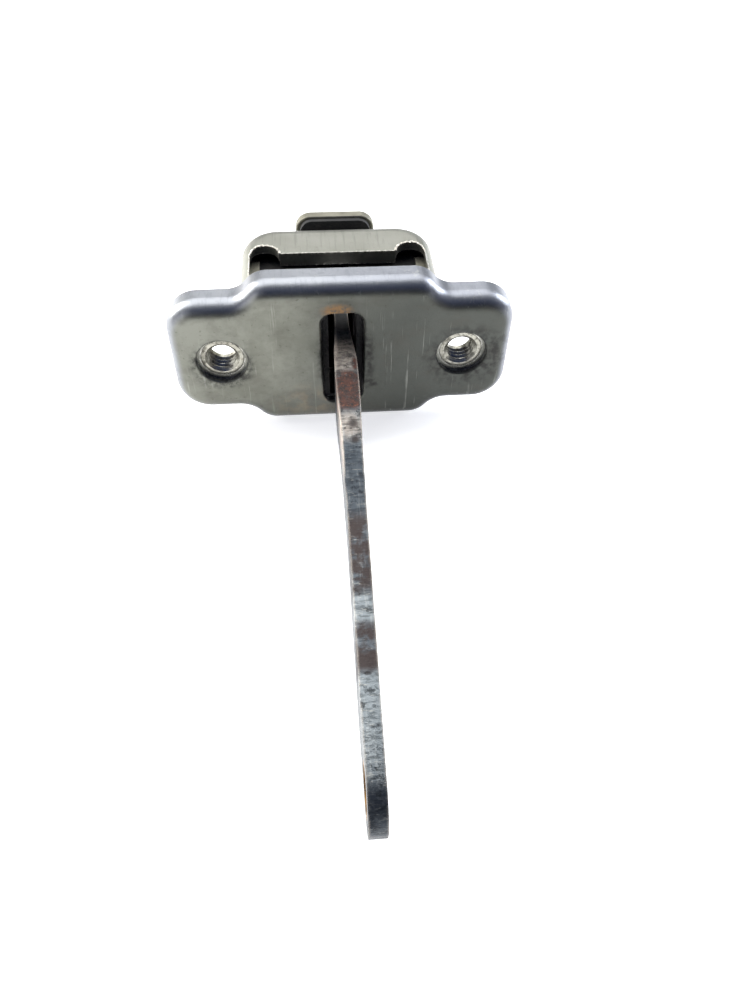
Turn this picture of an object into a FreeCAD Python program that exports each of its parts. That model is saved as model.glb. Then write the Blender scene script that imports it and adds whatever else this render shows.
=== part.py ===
"""Automotive door check: drawn steel housing, swivelling brake and sliding check arm.

Frame: the origin is on the front mounting face, midway between the two bolt holes.
X runs along the row of bolt holes, Z is up and Y points into the door.
The check arm leaves the housing along -Y and droops by the rest tilt.
"""
import FreeCAD
import Part
import Sketcher

import math
import os

SIZES = {
    # drawn front cover
    "sheet": 1.8,
    "hole_spacing": 58.0,
    "cover_hole_radius": 6.1,
    "cover_half_width": 41.2,
    "ear_half_height": 15.7,
    "middle_half_height": 20.4,
    "flat_top_half": 16.9,
    "shoulder_end": 26.6,
    "ear_corner_radius": 8.2,
    "cover_depth": 7.3,
    "edge_rounding": 4.0,
    "slot_width": 9.9,
    "slot_height": 26.9,
    "slot_centre_height": -0.65,
    "slot_corner_radius": 2.8,
    "slot_edge_rounding": 0.6,
    # drawn housing cup
    "flange_inset": 4.3,
    "flange_thickness": 2.2,
    "cup_half_width": 23.7,
    "cup_half_height": 16.1,
    "cup_back": 33.8,
    "cup_wall": 2.0,
    "cup_back_radius": 9.0,
    "cup_edge_radius": 4.4,
    "window_half_width": 14.4,
    "window_end": 20.5,
    "window_lobe_radius": 3.5,
    "window_lobe_centre": 17.9,
    "lip_half_width": 14.2,
    "lip_drop": 1.4,
    "rear_slot_half_width": 4.8,
    "rear_slot_half_height": 12.8,
    "rear_slot_corner": 0.2,
    # threaded collars
    "thread_radius": 3.325,
    "collar_radius": 5.2,
    "collar_head_radius": 5.25,
    "collar_front": 1.7,
    "collar_end": 7.6,
    "collar_chamfer": 0.8,
    # brake inside the housing
    "pivot_depth": 20.0,
    "frame_inner_face": 5.0,
    "frame_outer_face": 13.0,
    "frame_half_height": 12.2,
    "seat_radius": 9.55,
    "ledge_start": 10.2,
    "ledge_end": 20.3,
    "ledge_low": -12.98,
    "ledge_high": -11.2,
    "ledge_split": 0.02,
    "shoe_radius": 9.5,
    "shoe_split": 0.05,
    "shoe_inner_face": 3.1,
    "shoe_outer_face": 12.7,
    "shoe_channel_half": 8.05,
    "pad_half_length": 4.5,
    "pad_half_height": 6.0,
    "pad_back": 8.0,
    "pad_nose_reach": 1.72,
    "pad_nose_radius": 2.4,
    "spring_outer_face": 19.3,
    "spring_start": 11.5,
    "spring_end": 27.4,
    "spring_half_height": 11.5,
    "plate_start": 10.0,
    "plate_end": 24.2,
    "plate_half_height": 12.5,
    "seal_depth": 8.3,
    "seal_half_height": 13.5,
    "seal_opening_low": -12.85,
    "seal_opening_high": 12.0,
    "seal_opening_half": 3.4,
    "guide_opening_half": 3.35,
    "guide_opening_half_height": 11.75,
    # check arm and its stop
    "rest_tilt": 5.5,
    "arm_height": 16.0,
    "arm_reach": 129.4,
    "arm_tail": 27.0,
    "neck_half": 1.65,
    "swell_half": 3.0,
    "blade_half": 1.8,
    "end_half": 1.7,
    "arm_edge_rounding": 0.35,
    "eye_radius": 5.0,
    "bush_bore_radius": 4.1,
    "stop_plate_front": 19.0,
    "stop_plate_thickness": 2.5,
    "stop_plate_width": 20.4,
    "stop_plate_half_height": 14.0,
    "stop_plate_corner": 4.0,
    "buffer_width": 18.0,
    "buffer_half_height": 13.5,
    "buffer_ridge": 14.4,
    "buffer_edge": 17.85,
    "pin_radius": 2.0,
    "pin_hole_radius": 2.03,
    "pin_length": 12.0,
    "fit_gap": 0.05,
}

doc = FreeCAD.newDocument("door_check")
sheet = doc.addObject("Spreadsheet::Sheet", "Sizes")
for row, (alias, value) in enumerate(SIZES.items(), start=1):
    sheet.set("A%d" % row, alias)
    sheet.set("B%d" % row, str(value))
    sheet.setAlias("B%d" % row, alias)
doc.recompute()

PIECES = []


def size(name):
    """Return one size from the sheet in millimetres or degrees."""
    return float(sheet.get(name))


def bind(target, **formulas):
    """Bind properties to formulas over the sheet; double underscores stand for dots."""
    for path, formula in formulas.items():
        target.setExpression(path.replace("__", "."), formula)
    return target


def keep(target, label, swings=False):
    """Name a finished piece, tilting it about the brake pivot if it belongs to the arm."""
    target.Label = label
    if swings:
        bind(
            target,
            Placement__Base__y="Sizes.pivot_depth",
            Placement__Rotation__Angle="Sizes.rest_tilt * 1 deg",
        )
        target.Placement.Rotation.Axis = FreeCAD.Vector(1, 0, 0)
    PIECES.append(target)
    return target


# ---------------------------------------------------------------- sketches and features


def new_body(name):
    return doc.addObject("PartDesign::Body", name)


def new_sketch(body, role, offset="0"):
    """Sketch on one of the body's own planes, moved along the plane's normal by a formula."""
    plane = next(f for f in body.Origin.OriginFeatures if f.Role == role)
    sketch = body.newObject("Sketcher::SketchObject", body.Name + "_sketch")
    sketch.AttachmentSupport = [(plane, "")]
    sketch.MapMode = "FlatFace"
    return bind(sketch, AttachmentOffset__Base__z=offset)


def add_loop(sketch, edges):
    """Add a closed loop of lines and arcs and join the ends that meet."""
    loop = [sketch.addGeometry(edge, False) for edge in edges]
    for here, after in zip(loop, loop[1:] + loop[:1]):
        ends = [(a, b) for a in (1, 2) for b in (1, 2)]
        gaps = {e: sketch.getPoint(here, e[0]).distanceToPoint(sketch.getPoint(after, e[1])) for e in ends}
        meeting = min(gaps, key=gaps.get)
        sketch.addConstraint(Sketcher.Constraint("Coincident", here, meeting[0], after, meeting[1]))


def polygon(points):
    """Lines through the points, closed."""
    corners = [FreeCAD.Vector(x, y, 0) for x, y in points]
    return [
        Part.LineSegment(a, b) for a, b in zip(corners, corners[1:] + corners[:1])
    ]


def rounded(points):
    """Closed outline through (x, y, radius) corners, each rounded by its own radius."""
    count = len(points)
    ends = []
    for k, (x, y, radius) in enumerate(points):
        here = FreeCAD.Vector(x, y, 0)
        before = FreeCAD.Vector(*points[k - 1][:2], 0) - here
        after = FreeCAD.Vector(*points[(k + 1) % count][:2], 0) - here
        half = before.getAngle(after) / 2
        before.normalize()
        after.normalize()
        reach = radius / math.tan(half)
        bisector = (before + after).normalize()
        middle = here + bisector * (radius / math.sin(half) - radius)
        ends.append((here + before * reach, middle, here + after * reach, radius))
    edges = []
    for k, (start, middle, stop, radius) in enumerate(ends):
        if radius > 0:
            edges.append(Part.Arc(start, middle, stop))
        edges.append(Part.LineSegment(stop, ends[(k + 1) % count][0]))
    return edges


def rounded_rectangle(half_width, half_height, radius, rise=0.0):
    return rounded(
        [
            (half_width, rise - half_height, radius),
            (half_width, rise + half_height, radius),
            (-half_width, rise + half_height, radius),
            (-half_width, rise - half_height, radius),
        ]
    )


def pad(body, sketch, length, backwards=False, both_ways=False):
    feature = body.newObject("PartDesign::Pad", body.Name + "_pad")
    feature.Profile = sketch
    feature.Reversed = backwards
    feature.Midplane = both_ways
    bind(feature, Length=length)
    doc.recompute()
    return feature


def pocket(body, sketch, length=None, backwards=False, both_ways=False):
    """Cut a sketch out of the body, right through it if no length is given."""
    feature = body.newObject("PartDesign::Pocket", body.Name + "_pocket")
    feature.Profile = sketch
    feature.Reversed = backwards
    feature.Midplane = both_ways
    if length is None:
        feature.Type = "ThroughAll"
    else:
        bind(feature, Length=length)
    doc.recompute()
    return feature


def edges_where(shape, test):
    """Names of the edges whose two ends and middle all satisfy the test."""
    names = []
    for k, edge in enumerate(shape.Edges, start=1):
        low, high = edge.ParameterRange
        points = [edge.valueAt(low + (high - low) * part) for part in (0, 0.5, 1)]
        if all(test(p) for p in points):
            names.append("Edge%d" % k)
    return names


def fillet(body, test, radius):
    """Round the edges of the body's newest feature that satisfy the test."""
    base = body.Tip
    feature = body.newObject("PartDesign::Fillet", body.Name + "_fillet")
    feature.Base = (base, edges_where(base.Shape, test))
    bind(feature, Radius=radius)
    doc.recompute()
    return feature


def near(value, target, gap=0.01):
    return abs(value - target) < gap


# ---------------------------------------------------------------- primitive solids


def block(name, x, y, z):
    """Box between pairs of formulas, one pair for each axis."""
    box = doc.addObject("Part::Box", name)
    for axis, side, (low, high) in zip("xyz", ("Length", "Width", "Height"), (x, y, z)):
        bind(box, **{side: "(%s) - (%s)" % (high, low)})
        bind(box, **{"Placement__Base__" + axis: low})
    return box


def rod(name, radius, x, y="0", z="0"):
    """Cylinder along X between a pair of formulas."""
    cylinder = doc.addObject("Part::Cylinder", name)
    cylinder.Placement.Rotation = FreeCAD.Rotation(FreeCAD.Vector(0, 1, 0), 90)
    bind(cylinder, Radius=radius, Height="(%s) - (%s)" % (x[1], x[0]))
    bind(cylinder, Placement__Base__x=x[0])
    bind(cylinder, Placement__Base__y=y, Placement__Base__z=z)
    return cylinder


def post(name, radius, x, y):
    """Cylinder along Y between a pair of formulas, centred on x."""
    cylinder = doc.addObject("Part::Cylinder", name)
    cylinder.Placement.Rotation = FreeCAD.Rotation(FreeCAD.Vector(1, 0, 0), -90)
    bind(cylinder, Radius=radius, Height="(%s) - (%s)" % (y[1], y[0]))
    bind(cylinder, Placement__Base__x=x, Placement__Base__y=y[0])
    return cylinder


def fuse(name, pieces):
    union = doc.addObject("Part::MultiFuse", name)
    union.Shapes = pieces
    return union


def cut(name, base, tool):
    result = doc.addObject("Part::Cut", name)
    result.Base = base
    result.Tool = tool
    return result


def sided(side, low, high):
    """Pair of formulas on the right (side 1) or mirrored to the left (side -1)."""
    if side > 0:
        return low, high
    return "-(%s)" % high, "-(%s)" % low


SIDES = (("left", -1), ("right", 1))


# ---------------------------------------------------------------- housing


def plate_outline(inset):
    """Outline of the drawn cover, moved inwards: a tall middle with two lower ears."""
    corner = size("ear_corner_radius") - inset
    half_width = size("cover_half_width") - inset
    ear = size("ear_half_height") - inset
    top = size("middle_half_height") - inset
    start, stop = size("flat_top_half"), size("shoulder_end")
    run = stop - start
    drop = top - ear
    bend = (run * run + drop * drop) / (4 * drop)
    turn = math.asin(run / 2 / bend)
    quarter = []
    quarter.append(("line", (0, top), (start, top)))
    crest = (start, top - bend + inset)
    hollow = (stop, ear + bend + inset)
    quarter.append(("arc", crest, bend - inset, math.pi / 2, math.pi / 2 - turn))
    quarter.append(("arc", hollow, bend + inset, -math.pi / 2 - turn, -math.pi / 2))
    quarter.append(("line", (stop, ear), (half_width - corner, ear)))
    middle = (half_width - corner, ear - corner)
    quarter.append(("arc", middle, corner, math.pi / 2, 0.0))
    return mirrored_loop(quarter, half_width, ear - corner)


def mirrored_loop(quarter, half_width, side_half):
    """Complete a quarter outline of arcs and lines by symmetry, as one ordered loop."""

    def place(x, y, flip_x, flip_y):
        return FreeCAD.Vector(-x if flip_x else x, -y if flip_y else y, 0)

    def edge(item, flip_x, flip_y, backwards):
        if item[0] == "line":
            points = [place(*p, flip_x, flip_y) for p in item[1:]]
            if backwards:
                points.reverse()
            return Part.LineSegment(*points)
        centre, radius, begin, end = item[1:]
        angles = [begin, (begin + end) / 2, end]
        if backwards:
            angles.reverse()
        points = [
            place(
                centre[0] + radius * math.cos(a),
                centre[1] + radius * math.sin(a),
                flip_x,
                flip_y,
            )
            for a in angles
        ]
        return Part.Arc(*points)

    edges = [edge(item, False, False, False) for item in quarter]
    edges.append(Part.LineSegment(place(half_width, side_half, 0, 0), place(half_width, side_half, 0, 1)))
    edges += [edge(item, False, True, True) for item in reversed(quarter)]
    edges += [edge(item, True, True, False) for item in quarter]
    edges.append(Part.LineSegment(place(half_width, side_half, 1, 1), place(half_width, side_half, 1, 0)))
    edges += [edge(item, True, False, True) for item in reversed(quarter)]
    return edges


def add_bound_circle(sketch, x, radius):
    """Circle on the sketch's first axis whose radius follows the sheet."""
    circle = Part.Circle(FreeCAD.Vector(x, 0, 0), FreeCAD.Vector(0, 0, 1), size(radius))
    index = sketch.addGeometry(circle, False)
    sketch.addConstraint(Sketcher.Constraint("Radius", index, size(radius)))
    sketch.setExpression("Constraints[%d]" % (sketch.ConstraintCount - 1), "Sizes." + radius)


def add_holes(sketch, radius):
    """Two circles on the bolt hole centres."""
    for sign in (-1, 1):
        add_bound_circle(sketch, sign * size("hole_spacing") / 2, radius)


def make_front_cover():
    """Shallow drawn pan with a slot for the arm and a clearance hole in each ear."""
    body = new_body("front_cover_body")
    outline = new_sketch(body, "XZ_Plane")
    add_loop(outline, plate_outline(0.0))
    pad(body, outline, "Sizes.cover_depth", backwards=True)
    fillet(body, lambda p: near(p.y, 0), "Sizes.edge_rounding")
    hollow = new_sketch(body, "XZ_Plane", "-Sizes.sheet")
    add_loop(hollow, plate_outline(size("sheet")))
    pocket(body, hollow)
    fillet(body, lambda p: near(p.y, size("sheet")), "Sizes.edge_rounding - Sizes.sheet")
    openings = new_sketch(body, "XZ_Plane")
    slot = rounded_rectangle(
        size("slot_width") / 2,
        size("slot_height") / 2,
        size("slot_corner_radius"),
        size("slot_centre_height"),
    )
    add_loop(openings, slot)
    add_holes(openings, "cover_hole_radius")
    pocket(body, openings)

    def on_opening(p):
        in_slot = abs(p.x) < 6 and abs(p.z) < 16
        in_hole = near(math.hypot(abs(p.x) - size("hole_spacing") / 2, p.z), size("cover_hole_radius"))
        return near(p.y, 0) and (in_slot or in_hole)

    fillet(body, on_opening, "Sizes.slot_edge_rounding")
    keep(body, "front_cover")


def make_housing_cup():
    """Deep cup with an outward flange, windows above and below, and a slot in its back."""
    body = new_body("housing_cup_body")
    flange_back = size("sheet") + size("flange_thickness")
    outer = new_sketch(body, "XY_Plane")
    add_loop(outer, cup_plan(0.0, flange_back - size("fit_gap"), size("cup_back_radius")))
    pad(body, outer, "2 * Sizes.cup_half_height", both_ways=True)

    def long_edge(p):
        on_side = near(abs(p.x), size("cup_half_width"))
        return near(abs(p.z), size("cup_half_height")) and (on_side or p.y > flange_back)

    fillet(body, long_edge, "Sizes.cup_edge_radius")
    flange = new_sketch(body, "XZ_Plane", "-Sizes.sheet")
    add_loop(flange, plate_outline(size("flange_inset")))
    pad(body, flange, "Sizes.flange_thickness", backwards=True)
    inner = new_sketch(body, "XY_Plane")
    wall = size("cup_wall")
    add_loop(inner, cup_plan(wall, 0.0, size("cup_back_radius") - wall))
    pocket(body, inner, "2 * (Sizes.cup_half_height - Sizes.cup_wall)", both_ways=True)
    window = new_sketch(body, "XY_Plane")
    add_loop(window, window_outline())
    pocket(body, window, "3 * Sizes.cup_half_height", both_ways=True)
    add_lips(body)
    openings = new_sketch(body, "XZ_Plane")
    add_holes(openings, "collar_radius")
    pocket(body, openings, "Sizes.cover_depth")
    rear_slot = new_sketch(body, "XZ_Plane", "-Sizes.pivot_depth")
    width, height = size("rear_slot_half_width"), size("rear_slot_half_height")
    add_loop(rear_slot, rounded_rectangle(width, height, size("rear_slot_corner")))
    pocket(body, rear_slot)
    keep(body, "housing_cup")


def add_lips(body):
    """Bent lips that stiffen the window's back edge, one above and one below."""
    lips = new_sketch(body, "XZ_Plane", "-Sizes.window_end")
    half_width = size("lip_half_width")
    outer = size("cup_half_height") - size("cup_wall") / 2
    inner = size("cup_half_height") - size("cup_wall") - size("lip_drop")
    for sign in (-1, 1):
        corners = [(-half_width, inner), (half_width, inner), (half_width, outer), (-half_width, outer)]
        add_loop(lips, polygon([(x, sign * z) for x, z in corners]))
    pad(body, lips, "Sizes.cup_wall", backwards=True)


def cup_plan(inset, front, radius):
    """Plan of the cup with its two back corners rounded."""
    half_width = size("cup_half_width") - inset
    back = size("cup_back") - inset
    return rounded(
        [
            (half_width, front, 0.0),
            (half_width, back, radius),
            (-half_width, back, radius),
            (-half_width, front, 0.0),
        ]
    )


def window_outline():
    """Plan of the window: a wide opening with a round lobe at each back corner."""
    front = size("sheet") + size("flange_thickness")
    back = size("window_end")
    inner = size("window_half_width")
    radius = size("window_lobe_radius")
    centre = size("window_lobe_centre")
    outer = centre + radius
    right = [
        Part.LineSegment(FreeCAD.Vector(-outer, front, 0), FreeCAD.Vector(outer, front, 0)),
        Part.LineSegment(FreeCAD.Vector(outer, front, 0), FreeCAD.Vector(outer, back, 0)),
        lobe(centre, back, radius, 1),
        Part.LineSegment(FreeCAD.Vector(inner, back, 0), FreeCAD.Vector(-inner, back, 0)),
        lobe(-centre, back, radius, 1),
        Part.LineSegment(FreeCAD.Vector(-outer, back, 0), FreeCAD.Vector(-outer, front, 0)),
    ]
    return right


def lobe(centre, back, radius, side):
    """Half circle standing off the back edge of the window, from right to left."""
    return Part.Arc(
        FreeCAD.Vector(centre + radius * side, back, 0),
        FreeCAD.Vector(centre, back + radius, 0),
        FreeCAD.Vector(centre - radius * side, back, 0),
    )


def make_threaded_collars():
    """Two flanged collars with an M8 thread bore, one behind each cover hole."""
    collars = []
    for side, sign in SIDES:
        x = "%d * Sizes.hole_spacing / 2" % sign
        flange_back = "Sizes.sheet + Sizes.flange_thickness"
        barrel = post("collar_barrel_" + side, "Sizes.collar_radius", x, ("Sizes.collar_front", "Sizes.collar_end"))
        head = post("collar_head_" + side, "Sizes.collar_head_radius", x, (flange_back, "Sizes.collar_end"))
        solid = fuse("collar_solid_" + side, [barrel, head])
        bore = post("collar_bore_" + side, "Sizes.thread_radius", x, ("0", "2 * Sizes.collar_end"))
        mouth = doc.addObject("Part::Cone", "collar_mouth_" + side)
        mouth.Placement.Rotation = FreeCAD.Rotation(FreeCAD.Vector(1, 0, 0), -90)
        bind(
            mouth,
            Radius1="Sizes.thread_radius + Sizes.collar_chamfer",
            Radius2="Sizes.thread_radius",
            Height="Sizes.collar_chamfer",
            Placement__Base__x=x,
            Placement__Base__y="Sizes.collar_front",
        )
        drill = fuse("collar_drill_" + side, [bore, mouth])
        collars.append(cut("collar_" + side, solid, drill))
    pair = doc.addObject("Part::Compound", "collar_pair")
    pair.Links = collars
    keep(pair, "threaded_collars")


def make_seat_frame(side, sign):
    """Block clamped between cover and cup, bored to seat one swivelling shoe, with a ledge
    that closes the channel below the arm."""
    x = sided(sign, "Sizes.frame_inner_face", "Sizes.frame_outer_face")
    height = ("-Sizes.frame_half_height", "Sizes.frame_half_height")
    solid = block("frame_block_" + side, x, ("Sizes.sheet", "Sizes.cup_back - Sizes.cup_wall"), height)
    ledge = block(
        "frame_ledge_" + side,
        sided(sign, "Sizes.ledge_split", "Sizes.frame_inner_face + 1"),
        ("Sizes.ledge_start", "Sizes.ledge_end"),
        ("Sizes.ledge_low", "Sizes.ledge_high"),
    )
    seat = rod("frame_seat_" + side, "Sizes.seat_radius", x, "Sizes.pivot_depth")
    body = fuse("frame_solid_" + side, [solid, ledge])
    keep(cut("frame_" + side, body, seat), "seat_frame_" + side)


def rounded_slab(name, x, y, half_height, radius):
    """Block between formulas with its four edges along X rounded."""
    slab = block(name + "_slab", x, y, ("-" + half_height, half_height))
    doc.recompute()
    box = slab.Shape.BoundBox

    def corner(p):
        return min(p.y - box.YMin, box.YMax - p.y) < 0.01 and min(p.z - box.ZMin, box.ZMax - p.z) < 0.01

    result = doc.addObject("Part::Fillet", name)
    result.Base = slab
    result.Edges = [(int(edge[4:]), radius, radius) for edge in edges_where(slab.Shape, corner)]
    return result


def make_spring_block(side, sign):
    """Rubber block that loads the shoe from behind."""
    x = sided(sign, "Sizes.frame_outer_face", "Sizes.spring_outer_face")
    y = ("Sizes.spring_start", "Sizes.spring_end")
    block_name = "spring_block_" + side
    keep(rounded_slab(block_name + "_solid", x, y, "Sizes.spring_half_height", 2.5), block_name)


def make_backing_plate(side, sign):
    """Steel plate that spreads the spring force over the cup's side wall."""
    x = sided(sign, "Sizes.spring_outer_face", "Sizes.cup_half_width - Sizes.cup_wall")
    y = ("Sizes.plate_start", "Sizes.plate_end")
    plate_name = "backing_plate_" + side
    keep(rounded_slab(plate_name + "_solid", x, y, "Sizes.plate_half_height", 1.5), plate_name)


def make_dust_seal():
    """Deep soft sleeve from the cover's slot to the swivelling shoes."""
    edge = "Sizes.frame_inner_face"
    solid = block(
        "seal_block",
        ("-" + edge, edge),
        ("Sizes.sheet", "Sizes.sheet + Sizes.seal_depth"),
        ("-Sizes.seal_half_height", "Sizes.seal_half_height"),
    )
    opening = block(
        "seal_opening",
        ("-Sizes.seal_opening_half", "Sizes.seal_opening_half"),
        ("0", "Sizes.pivot_depth"),
        ("Sizes.seal_opening_low", "Sizes.seal_opening_high"),
    )
    keep(cut("seal", solid, opening), "dust_seal")


def make_rear_guide():
    """Plastic frame lining the slot in the back of the cup."""
    inner = "Sizes.cup_back - Sizes.cup_wall"
    collar = block(
        "guide_collar",
        ("-Sizes.frame_inner_face", "Sizes.frame_inner_face"),
        (inner + " - 1.2", inner),
        ("-Sizes.rear_slot_half_height - 0.8", "Sizes.rear_slot_half_height + 0.8"),
    )
    liner = block(
        "guide_liner",
        ("-Sizes.rear_slot_half_width + 0.02", "Sizes.rear_slot_half_width - 0.02"),
        (inner, "Sizes.cup_back"),
        ("-Sizes.rear_slot_half_height + 0.3", "Sizes.rear_slot_half_height - 0.3"),
    )
    opening = block(
        "guide_opening",
        ("-Sizes.guide_opening_half", "Sizes.guide_opening_half"),
        ("Sizes.pivot_depth", "Sizes.cup_back + 1"),
        ("-Sizes.guide_opening_half_height", "Sizes.guide_opening_half_height"),
    )
    keep(cut("guide", fuse("guide_solid", [collar, liner]), opening), "rear_guide")


# ---------------------------------------------------------------- swivelling brake


def make_swivel_shoe(side, sign):
    """Round shoe turning in its seat frame, with a channel for the arm and a pad pocket."""
    disc = rod(
        "shoe_disc_" + side,
        "Sizes.shoe_radius",
        sided(sign, "Sizes.shoe_split", "Sizes.shoe_outer_face"),
    )
    channel = block(
        "shoe_channel_" + side,
        sided(sign, "-1", "Sizes.shoe_inner_face"),
        ("-2 * Sizes.shoe_radius", "2 * Sizes.shoe_radius"),
        ("-Sizes.shoe_channel_half", "Sizes.shoe_channel_half"),
    )
    recess = block(
        "shoe_recess_" + side,
        sided(sign, "0", "Sizes.pad_back"),
        ("-Sizes.pad_half_length", "Sizes.pad_half_length"),
        ("-Sizes.pad_half_height", "Sizes.pad_half_height"),
    )
    tools = fuse("shoe_tools_" + side, [channel, recess])
    keep(cut("shoe_" + side, disc, tools), "swivel_shoe_" + side, swings=True)


def make_brake_pad(side, sign):
    """Elastic pad set in the shoe, with a round nose that presses on the arm."""
    foot = block(
        "pad_foot_" + side,
        sided(sign, "Sizes.shoe_inner_face + 0.9", "Sizes.pad_back"),
        ("-Sizes.pad_half_length", "Sizes.pad_half_length"),
        ("-Sizes.pad_half_height", "Sizes.pad_half_height"),
    )
    nose = doc.addObject("Part::Cylinder", "pad_nose_" + side)
    bind(
        nose,
        Radius="Sizes.pad_nose_radius",
        Height="2 * Sizes.pad_half_height",
        Placement__Base__x="%d * (Sizes.pad_nose_reach + Sizes.pad_nose_radius)" % sign,
        Placement__Base__z="-Sizes.pad_half_height",
    )
    keep(fuse("pad_" + side, [foot, nose]), "brake_pad_" + side, swings=True)


# ---------------------------------------------------------------- check arm and stop


def arm_half_thickness():
    """Stations along the arm, measured from the pivot, with the half thickness there."""
    return (
        ("arm_tail", 1, size("neck_half")),
        (None, -13.0, size("neck_half")),
        (None, -17.0, size("neck_half") + 0.25),
        (None, -24.5, size("swell_half") - 0.2),
        (None, -28.0, size("swell_half")),
        (None, -36.0, size("swell_half")),
        (None, -42.0, size("swell_half") - 0.25),
        (None, -56.0, size("blade_half") + 0.4),
        (None, -68.0, size("blade_half") + 0.2),
        (None, -92.0, size("blade_half") + 0.05),
        ("arm_reach", -1, size("end_half")),
    )


def make_check_arm():
    """Flat bar with a swelling near the brake and a round end with an eye."""
    body = new_body("check_arm_body")
    stations = []
    for alias, position, half in arm_half_thickness():
        along = size(alias) * position if alias else position
        stations.append((along, half))
    right = [(half, along) for along, half in stations]
    left = [(-half, along) for along, half in reversed(stations)]
    plan = new_sketch(body, "XY_Plane")
    add_loop(plan, polygon(right + left))
    pad(body, plan, "Sizes.arm_height", both_ways=True)
    reach = size("arm_reach")
    half_height = size("arm_height") / 2
    fillet(
        body,
        lambda p: near(p.y, -reach) and near(abs(p.z), half_height),
        "Sizes.arm_height / 2 - 0.01",
    )
    holes = new_sketch(body, "YZ_Plane")
    add_bound_circle(holes, half_height - reach, "eye_radius")
    add_bound_circle(holes, pin_station(), "pin_hole_radius")
    pocket(body, holes, "4 * Sizes.swell_half", both_ways=True)
    fillet(
        body,
        lambda p: near(abs(p.z), half_height) and -reach + half_height < p.y < size("arm_tail") - 0.1,
        "Sizes.arm_edge_rounding",
    )
    keep(body, "check_arm", swings=True)


def pin_station():
    """Distance of the cross pin behind the pivot: just behind the stop plate."""
    return size("stop_plate_front") + size("stop_plate_thickness") + size("pin_radius")


def make_eye_bush():
    """Thin sleeve pressed into the eye of the arm."""
    x = ("-Sizes.end_half", "Sizes.end_half")
    centre = "Sizes.arm_height / 2 - Sizes.arm_reach"
    sleeve = rod("bush_sleeve", "Sizes.eye_radius", x, centre)
    bore = rod("bush_bore", "Sizes.bush_bore_radius", ("-10", "10"), centre)
    keep(cut("bush", sleeve, bore), "eye_bush", swings=True)


def make_stop_plate():
    """Rounded steel plate threaded onto the tail of the arm."""
    body = new_body("stop_plate_body")
    face = new_sketch(body, "XZ_Plane", "-Sizes.stop_plate_front")
    half_width = size("stop_plate_width") / 2
    add_loop(
        face,
        rounded_rectangle(half_width, size("stop_plate_half_height"), size("stop_plate_corner")),
    )
    add_loop(face, tail_opening())
    pad(body, face, "Sizes.stop_plate_thickness", backwards=True)
    half_height = size("stop_plate_half_height")

    def outer_edge(p):
        return abs(p.x) > half_width - 4.1 or abs(p.z) > half_height - 4.1

    def flat_face(p):
        front = size("stop_plate_front")
        return near(p.y, front) or near(p.y, front + size("stop_plate_thickness"))

    fillet(body, lambda p: outer_edge(p) and flat_face(p), "Sizes.stop_plate_thickness / 5")
    keep(body, "stop_plate", swings=True)


def tail_opening():
    """Opening that takes the tail of the arm with a small gap all round."""
    gap = size("fit_gap")
    return rounded_rectangle(size("neck_half") + gap, size("arm_height") / 2 + gap, 0.2)


def make_stop_buffer():
    """Roof-shaped rubber buffer in front of the stop plate."""
    body = new_body("stop_buffer_body")
    back, edge, ridge = size("stop_plate_front"), size("buffer_edge"), size("buffer_ridge")
    half = size("buffer_half_height")
    side = new_sketch(body, "YZ_Plane")
    add_loop(side, polygon([(back, -half), (back, half), (edge, half), (ridge, 0), (edge, -half)]))
    pad(body, side, "Sizes.buffer_width", both_ways=True)
    fillet(body, lambda p: near(p.y, ridge) and near(p.z, 0), "2")
    opening = new_sketch(body, "XZ_Plane")
    add_loop(opening, tail_opening())
    pocket(body, opening)
    half_width = size("buffer_width") / 2
    fillet(
        body,
        lambda p: near(abs(p.x), half_width) and near(abs(p.z), half),
        "3",
    )
    keep(body, "stop_buffer", swings=True)


def make_stop_pin():
    """Cross pin that holds the stop plate on the tail of the arm."""
    body = new_body("stop_pin_body")
    section = new_sketch(body, "YZ_Plane")
    add_bound_circle(section, pin_station(), "pin_radius")
    pad(body, section, "Sizes.pin_length", both_ways=True)
    half = size("pin_length") / 2
    fillet(body, lambda p: near(abs(p.x), half), "Sizes.pin_radius / 4")
    keep(body, "stop_pin", swings=True)


# ---------------------------------------------------------------- checks and export


def export(piece):
    """Check one piece and write its file, named after the piece."""
    shape = piece.Shape
    if shape.isNull() or not shape.isValid():
        raise RuntimeError(piece.Label + " has no valid shape")
    shape.exportStep("parts/%s.step" % piece.Label)


def main():
    make_front_cover()
    make_housing_cup()
    make_threaded_collars()
    for side, sign in SIDES:
        make_seat_frame(side, sign)
        make_spring_block(side, sign)
        make_backing_plate(side, sign)
        make_swivel_shoe(side, sign)
        make_brake_pad(side, sign)
    make_dust_seal()
    make_rear_guide()
    make_check_arm()
    make_eye_bush()
    make_stop_plate()
    make_stop_buffer()
    make_stop_pin()
    doc.recompute()
    for item in doc.Objects:
        if "Invalid" in item.State or "Error" in item.State:
            raise RuntimeError(item.Name + " did not compute")
    os.makedirs("parts", exist_ok=True)
    for piece in PIECES:
        export(piece)
        box = piece.Shape.BoundBox
        print(
            "%-20s %7.2f..%7.2f %7.2f..%7.2f %7.2f..%7.2f vol %9.1f"
            % (piece.Label, box.XMin, box.XMax, box.YMin, box.YMax, box.ZMin, box.ZMax, piece.Shape.Volume)
        )


main()
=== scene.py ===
"""Looks of an automotive door check: steel housing, sprung brake and sliding check arm."""

import math

import bpy
from mathutils import Matrix, Vector


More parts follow.
